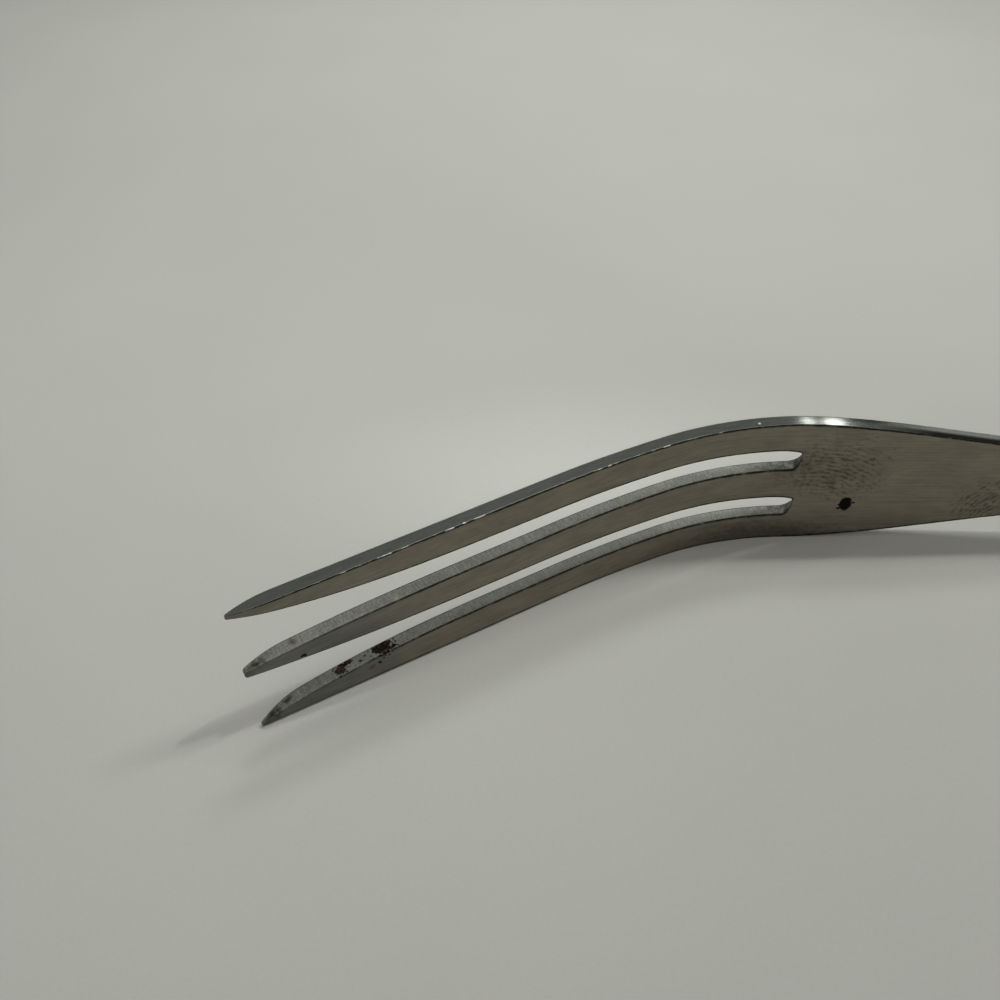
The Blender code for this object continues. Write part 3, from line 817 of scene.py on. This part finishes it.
def fork_steel(finish):
    """Stamped steel: faces brushed along the blank and clouded, a polished outer rim with painted
    reflections (painted dark along the neck's front half, a painted sheen on its back half, painted shade
    beside the glints on the shoulder), dull gritty slot walls with painted shade at their closed ends,
    painted shade along the ragged corners, a painted reflection of the table's shadow low on the lower
    tine's root, fingerprints, nicks painted bright as glints, and residue."""
    material, bench = new_material("stamped_steel")
    noise, ramp, tone, product = bench.noise, bench.ramp, bench.tone, bench.product
    mix, blend = bench.mix, bench.blend
    flat = bench.attribute("flat", "Vector")
    rim, slot, edge = (bench.attribute(zone, "Fac") for zone in ZONES)
    station, across, through = bench.lay("SeparateXYZ", {0: flat}).outputs

    long_brush = noise(flat, (0.10, 5.0, 1.5), 4.0, 0.6)
    fine_brush = noise(flat, (0.45, 17.0, 3.0), 2.0)
    cloud = noise(flat, (0.28, 0.75, 0.5), 4.0, 0.6)
    grit = noise(flat, (4.5, 4.5, 4.5), 3.0, 0.7)
    mottle = noise(flat, (1.2, 1.2, 1.5), 3.0, 0.6)
    striae = noise(flat, (6.0, 2.0, 0.8), 3.0)
    wander = ramp(noise(flat, (1.6, 1.6, 1.6), 3.0), 0.25, 0.75, -0.45, 0.45)
    shards = bench.lay("TexVoronoi", {"Vector": flat, "Scale": 2.4}).outputs["Distance"]
    crumble = ramp(shards, 0.0, 0.7, -0.45, 0.38)

    grain = bench.weighed(long_brush, 0.65, fine_brush, 0.35)
    face_tone = product(tone(grain, 0.78, 1.22), tone(cloud, 0.86, 1.14))
    tip = product(ramp(station, *WORN_TIP), ramp(across, *WORN_LOW, 0.3, 1.0))
    face = bench.tint(mix(tip, finish.face, finish.tip), face_tone)

    # Painted reflections on the polished rim: along the neck its front half is painted dark and its back
    # half painted lighter as a sheen; beside the glints on the shoulder its back half is painted darker as
    # shade
    neck = product(ramp(station, *NECK_NEAR), ramp(station, *NECK_FAR))
    shaded = product(neck, ramp(through, *SHADED_FRONT))
    turned = product(ramp(station, *GLINT_SHADE_NEAR), ramp(station, *GLINT_SHADE_FAR), ramp(through, *GLINT_SHADE_BACK))
    lit = product(neck, ramp(through, *LIT_BACK))
    rim_tone = product(tone(fine_brush, 0.88, 1.10), tone(grit, 0.92, 1.08),
                       ramp(shaded, 0.0, 1.0, 1.1, 0.12), ramp(turned, 0.0, 1.0, 1.0, 0.45),
                       ramp(lit, 0.0, 1.0, 1.0, 2.4))
    polished = bench.tint(finish.rim, rim_tone)

    # Painted shade: the slot walls darken, mottled, towards the closed slot ends
    painted_end_shade = blend(ramp(station, *SHADED_SLOT_END), 1.0, ramp(mottle, 0.36, 0.64, 0.32, 0.90))
    lower = product(ramp(across, *LOWER_WALL), ramp(station, *LOWER_START))
    halfway = product(ramp(station, *HALFWAY_NEAR), ramp(station, *HALFWAY_FAR))
    slot_tone = product(tone(striae, 0.80, 1.20), tone(grit, 0.70, 1.30), tone(cloud, 0.92, 1.08), painted_end_shade,
                        ramp(halfway, 0.0, 1.0, 1.0, 0.80), ramp(lower, 0.0, 1.0, 1.0, 0.80),
                        ramp(station, *PALE_TIP, 1.0, 1.35))
    sheared = bench.tint(finish.slot, slot_tone)

    base = mix(rim, face, mix(slot, polished, sheared))
    rough = blend(rim, tone(grain, 0.36, 0.50), blend(slot, RIM_ROUGH, SLOT_ROUGH))

    # Painted shade along the rounded corners in the grime colour, ragged at its edge and thinner towards the
    # tips except on the upper tine
    ragged = product(edge, tone(mottle, 0.55, 1.6))
    corner_shade_fade = blend(ramp(across, *UPPER_CORNER), ramp(station, *CORNER_SHADE_FADE, 0.90, 0.55), 0.95)
    corner = product(ramp(ragged, 0.1, 0.9), corner_shade_fade)
    base = mix(corner, base, finish.grime)
    rough = blend(corner, rough, CORNER_ROUGH)

    on_face = bench.math("SUBTRACT", 1.0, rim)
    level = bench.vector("MULTIPLY", flat, (1.0, 1.0, 0.0))
    swirl = ramp(noise(flat, (0.45, 0.6, 0.1), 4.0, 0.65), 0.0, 1.0, -8.0, 8.0)
    broken = ramp(noise(flat, (1.1, 1.8, 1.0), 2.0), 0.36, 0.58, 0.15, 1.0)
    for centre, radii, core in FINGERPRINTS:
        inside = bench.spot(flat, wander, centre, radii, 0.6)
        away = bench.length_of(bench.vector("SUBTRACT", level, core))
        phase = bench.math("ADD", product(away, FULL_TURN / RIDGE_SPACING), swirl)
        ridge = ramp(bench.math("SINE", phase), -0.5, 0.8, 0.3, 1.0)
        mark = product(ridge, broken, inside, on_face)
        base = mix(product(mark, 0.55), base, finish.grime)
        rough = blend(product(mark, 0.5), rough, PRINT_ROUGH)

    brown_crust = mix(ramp(grit, 0.44, 0.52), finish.residue, finish.grime)
    black_crust = mix(ramp(grit, 0.52, 0.62), finish.grime, finish.residue)
    for spots, tint, strength, soft, stray in (
            (SMEARS, finish.grime, 0.26, 0.8, wander),
            (STAINS, finish.residue, 0.55, 0.7, wander),
            (TABLE_SHADOW_REFLECTION, finish.grime, 0.46, 0.6, product(wander, 0.4)),
            (BROWN_RESIDUE, brown_crust, 0.92, 0.2, crumble),
            (BLACK_RESIDUE, black_crust, 0.98, 0.2, crumble),
            (CRUMB, finish.grime, 1.0, 0.2, product(wander, 0.25)),
            (TIP_GRIME, finish.grime, 0.7, 0.6, wander),
            (NICKS_AND_GLINTS, finish.bright, 0.5, 0.4, crumble)):
        for centre, radii in spots:
            mark = product(bench.spot(flat, stray, centre, radii, soft), strength)
            base = mix(mark, base, tint)
            rough = blend(mark, rough, MARK_ROUGH)

    brush_height = product(grain, on_face, 0.6)
    wall_height = product(bench.math("ADD", striae, grit), rim, slot)
    relief = bench.bump(bench.math("ADD", brush_height, wall_height), 0.12, 0.05 * MM)
    bench.close(base, rough, 1.0, relief)
    return material


def walnut(finish):
    """Oiled dark wood: growth rings about a line beside the plank, wandering along it, with fibres, pores
    and a satin surface that is rougher in the pores."""
    pith, stretch, ring_width = (0.0, 46.0, -14.0), (0.03, 1.0, 1.0), 2.3
    material, bench = new_material("oiled_walnut")
    noise, ramp, product = bench.noise, bench.ramp, bench.product
    where = bench.millimetres()
    drift = noise(where, (0.018, 0.10, 0.10), 2.0)
    ripple = noise(where, (0.07, 0.5, 0.5), 2.0)
    radial = bench.length_of(bench.vector("MULTIPLY", bench.vector("SUBTRACT", where, pith), stretch))
    bent = bench.math("ADD", radial, bench.weighed(drift, 9.0, ripple, 0.9))
    band = ramp(bench.math("SINE", product(bent, FULL_TURN / ring_width)), -1.0, 1.0)
    fibre = noise(where, (0.22, 9.0, 9.0), 3.0, 0.65)
    pores = noise(where, (0.16, 4.2, 4.2), 1.0)
    pore = product(ramp(pores, 0.62, 0.70), ramp(band, 0.1, 0.9, 0.35, 1.0))
    depth = bench.weighed(band, 0.5, fibre, 0.5)
    base = bench.mix(ramp(depth, 0.15, 0.8), finish.wood_light, finish.wood_dark)
    base = bench.mix(product(pore, 0.8), base, finish.pore)
    rough = bench.math("ADD", ramp(fibre, 0.25, 0.75, 0.38, 0.50), product(pore, 0.25))
    relief = bench.bump(bench.math("SUBTRACT", product(fibre, 0.4), pore), 0.25, 0.05 * MM)
    bench.close(base, rough, 0.0, relief, **{"Coat Weight": 0.12, "Coat Roughness": 0.25})
    return material


def rivet_steel(finish):
    """Rivet metal ground flush with the wood: fine scratches along the handle and a few deeper ones."""
    material, bench = new_material("ground_rivet")
    where = bench.millimetres()
    scratch = bench.noise(where, (0.5, 2.0, 20.0), 3.0, 0.6)
    deep = bench.ramp(bench.noise(where, (0.35, 1.0, 9.0), 1.0), 0.66, 0.72)
    cloud = bench.noise(where, (0.6, 0.6, 0.6), 2.0)
    ground = bench.product(bench.tone(scratch, 0.86, 1.08), bench.tone(cloud, 0.93, 1.05))
    base = bench.mix(bench.product(deep, 0.4), bench.tint(finish.rivet, ground), finish.grime)
    relief = bench.bump(bench.math("SUBTRACT", scratch, deep), 0.15, 0.03 * MM)
    bench.close(base, bench.tone(scratch, 0.24, 0.38), 1.0, relief)
    return material


def table_top(stage):
    """Pale matt table top with faint clouding and a fine even tooth."""
    material, bench = new_material("pale_table")
    where = bench.millimetres()
    cloud = bench.noise(where, (0.03, 0.03, 0.03), 3.0)
    tooth = bench.noise(where, (2.2, 2.2, 2.2), 2.0)
    mottled = bench.product(bench.tone(cloud, 0.985, 1.015), bench.tone(tooth, 0.985, 1.015))
    bench.close(bench.tint(stage.floor, mottled), 0.65, 0.0, **{"Specular IOR Level": 0.25})
    return material


class FORK_OT_steel_blank(Operator):
    """Model the bent, tapered and ground steel blank"""

    bl_idname = "fork.steel_blank"
    bl_label = "Steel blank"

    def execute(self, context):
        d = dimensions(context.scene)
        patch = fork_blank_mesh(d)
        stamped = fork_steel(context.scene.fork_finish)
        piece = new_piece(d, "fork_blank", patch, stamped, STEEL_SHARP)
        flat = piece.data.attributes.new("flat", "FLOAT_VECTOR", "POINT")
        flat.data.foreach_set("vector", (patch.points / MM).ravel())
        for name, values in zip(ZONES, patch.zones.T):
            piece.data.attributes.new(name, "FLOAT", "POINT").data.foreach_set("value", values.copy())
        return {"FINISHED"}


class FORK_OT_handle_scales(Operator):
    """Model the two crowned wooden scales"""

    bl_idname = "fork.handle_scales"
    bl_label = "Handle scales"

    def execute(self, context):
        d = dimensions(context.scene)
        wood = walnut(context.scene.fork_finish)
        for node, side in (("handle_scale_front", 1.0), ("handle_scale_back", -1.0)):
            new_piece(d, node, handle_scale_mesh(d, side), wood, HANDLE_SHARP)
        return {"FINISHED"}


class FORK_OT_rivets(Operator):
    """Model the pin and socket halves of the rivets"""

    bl_idname = "fork.rivets"
    bl_label = "Rivets"

    def execute(self, context):
        d = dimensions(context.scene)
        metal = rivet_steel(context.scene.fork_finish)
        for kind, hollow, side in (("pin", False, 1.0), ("socket", True, -1.0)):
            for number, station in enumerate(d.rivets, start=1):
                patch = rivet_mesh(d, station, hollow, side)
                new_piece(d, f"rivet_{kind}_{number}", patch, metal, HANDLE_SHARP)
        return {"FINISHED"}


# Spots: setting of the power, radius, place and aim from the table under the slot ends, cone in degrees
SPOTS = {
    "soft_spot": ("pool_power", 0.05, (0.0, 0.208, 0.37), (-0.058, 0.142, 0.0), 65.0),
    "back_spot": ("back_power", 0.19, (0.0, 0.9, 1.6), (0.0, 0.7, 0.0), 59.4),
    "tip_spot": ("tip_power", 0.008, (0.194, 0.051, 0.57), (-0.14, -0.03, 0.0), 25.4),
    "neck_spot": ("neck_power", 0.02, (0.276, 0.128, 0.57), (0.05, -0.01, 0.0), 25.1),
    "gap_spot": ("gap_power", 0.012, (-0.32, 0.008, 0.16), (-0.022, 0.011, 0.0), 6.6),
}
# Area lamps: setting of the power, width, height, level over the table of the point that they face, distance
# from it, and in degrees their turn to the right of straight back and their height over the horizon
AREA_LAMPS = {
    "tube_lamp": ("tube_power", 0.30, 0.03, 0.0, 0.566, 53.1, 69.4),
    "soft_box": ("box_power", 0.08, 0.08, 0.0, 0.60, 67.4, 52.0),
    "far_lamp_left": ("left_glint", 0.018, 0.030, 18.0 * MM, 0.70, 20.9, 34.9),
    "far_lamp_right": ("right_glint", 0.028, 0.035, 18.0 * MM, 0.70, 25.6, 32.7),
}


def new_lamp(name, kind, watts, stand, at, **settings):
    """Lamp that stands at one point and faces another."""
    data = bpy.data.lights.new(name, kind)
    data.energy = watts
    for field, value in settings.items():
        setattr(data, field, value)
    lamp = new_object(name, data)
    lamp.location = stand
    lamp.rotation_euler = (at - stand).to_track_quat("-Z", "Y").to_euler()
    return lamp


def light_up(stage, foot):
    """Spots whose light falls off softly from the middle of their cones, and area lamps placed by distance
    and direction. The tube lamp faces straight down."""
    for name, (setting, radius, stand, at, cone) in SPOTS.items():
        new_lamp(name, "SPOT", getattr(stage, setting), foot + Vector(stand), foot + Vector(at),
                 shadow_soft_size=radius, spot_size=math.radians(cone), spot_blend=1.0)
    for name, (setting, wide, high, lift, away, azimuth, elevation) in AREA_LAMPS.items():
        a, e = math.radians(azimuth), math.radians(elevation)
        towards = Vector((math.sin(a) * math.cos(e), math.cos(a) * math.cos(e), math.sin(e)))
        at = foot + Vector((0.0, 0.0, lift))
        lamp = new_lamp(name, "AREA", getattr(stage, setting), at + towards * away, at,
                        shape="RECTANGLE", size=wide, size_y=high)
        if name == "tube_lamp":
            lamp.rotation_euler = (0.0, 0.0, 0.0)


def surroundings(stage):
    """World that is pale at eye level, darker above it and lit overhead and from the front. It changes
    between heights given as the sine of the angle over the horizon."""
    above_eye, overhead = (0.26, 0.40), (0.80, 0.92)
    front_rise, front_turn = (0.2, 0.5), (0.0, -0.6)
    world = bpy.data.worlds.new("studio")
    bpy.context.scene.world = world
    world.use_nodes = True
    bench = Bench(world.node_tree)
    direction = bench.lay("TexCoord").outputs["Generated"]
    _, depth, height = bench.lay("SeparateXYZ", {0: direction}).outputs
    low = bench.mix(bench.ramp(height, *above_eye), stage.horizon, stage.shade)
    sky = bench.mix(bench.ramp(height, *overhead), low, stage.ceiling)
    facing = bench.product(bench.ramp(height, *front_rise), bench.ramp(depth, *front_turn))
    sky = bench.vector("ADD", sky, bench.tint(stage.front, facing))
    background = bench.lay("Background", {"Color": sky, "Strength": 1.0})
    bench.lay("OutputWorld", {0: background.outputs[0]})


def photo_camera(stage, d):
    """Camera on a sphere about the target: turned right by the azimuth, up by the elevation, then rolled."""
    a, e, r = stage.azimuth, stage.elevation, stage.roll
    back = Vector((math.sin(a) * math.cos(e), -math.cos(a) * math.cos(e), math.sin(e)))
    right = Vector((math.cos(a), math.sin(a), 0.0))
    up = back.cross(right)
    across = right * math.cos(r) + up * math.sin(r)
    over = up * math.cos(r) - right * math.sin(r)
    data = bpy.data.cameras.new("photo_view")
    data.lens = stage.lens
    data.sensor_width = SENSOR_WIDTH
    data.clip_start = CLIP_START
    camera = new_object("photo_view", data)
    turn = Matrix((across, over, back)).transposed()
    at = Vector(d.origin) + Vector(stage.target) + back * stage.distance
    camera.matrix_world = Matrix.Translation(at) @ turn.to_4x4()
    bpy.context.scene.camera = camera


class FORK_OT_stage(Operator):
    """Set the table, the light and the view"""

    bl_idname = "fork.stage"
    bl_label = "Stage"

    def execute(self, context):
        stage = context.scene.fork_stage
        d = dimensions(context.scene)
        patch = table_mesh(TABLE_RADIUS)
        table = new_object("table", new_mesh("table", patch.points, patch.faces, table_top(stage)))
        surroundings(stage)
        light_up(stage, Vector((d.origin[0], d.origin[1], 0.0)))
        photo_camera(stage, d)
        context.scene.view_settings.view_transform = "Standard"
        return {"FINISHED"}


OPERATORS = (FORK_OT_steel_blank, FORK_OT_handle_scales, FORK_OT_rivets, FORK_OT_stage)
SETTINGS = (("fork_steel", ForkSteelSizes), ("fork_handle", ForkHandleSizes), ("fork_finish", ForkFinish),
            ("fork_stage", ForkStage))


class FORK_PT_sidebar(Panel):
    """Lists the fork's pieces and their settings"""

    bl_idname = "FORK_PT_sidebar"
    bl_label = "Serving fork"
    bl_space_type = "VIEW_3D"
    bl_region_type = "UI"
    bl_category = "Fork"

    def draw(self, context):
        for operator in OPERATORS:
            self.layout.operator(operator.bl_idname)
        for name, group in SETTINGS:
            box = self.layout.box()
            for field in group.__annotations__:
                box.prop(getattr(context.scene, name), field)


CLASSES = (*(group for _, group in SETTINGS), *OPERATORS, FORK_PT_sidebar)


def register():
    for cls in CLASSES:
        bpy.utils.register_class(cls)
    for name, group in SETTINGS:
        setattr(bpy.types.Scene, name, PointerProperty(type=group))


def unregister():
    for name, _ in SETTINGS:
        delattr(bpy.types.Scene, name)
    for cls in reversed(CLASSES):
        bpy.utils.unregister_class(cls)


def main():
    register()
    bpy.ops.fork.steel_blank()
    bpy.ops.fork.handle_scales()
    bpy.ops.fork.rivets()
    bpy.ops.fork.stage()


if __name__ == "__main__":
    main()
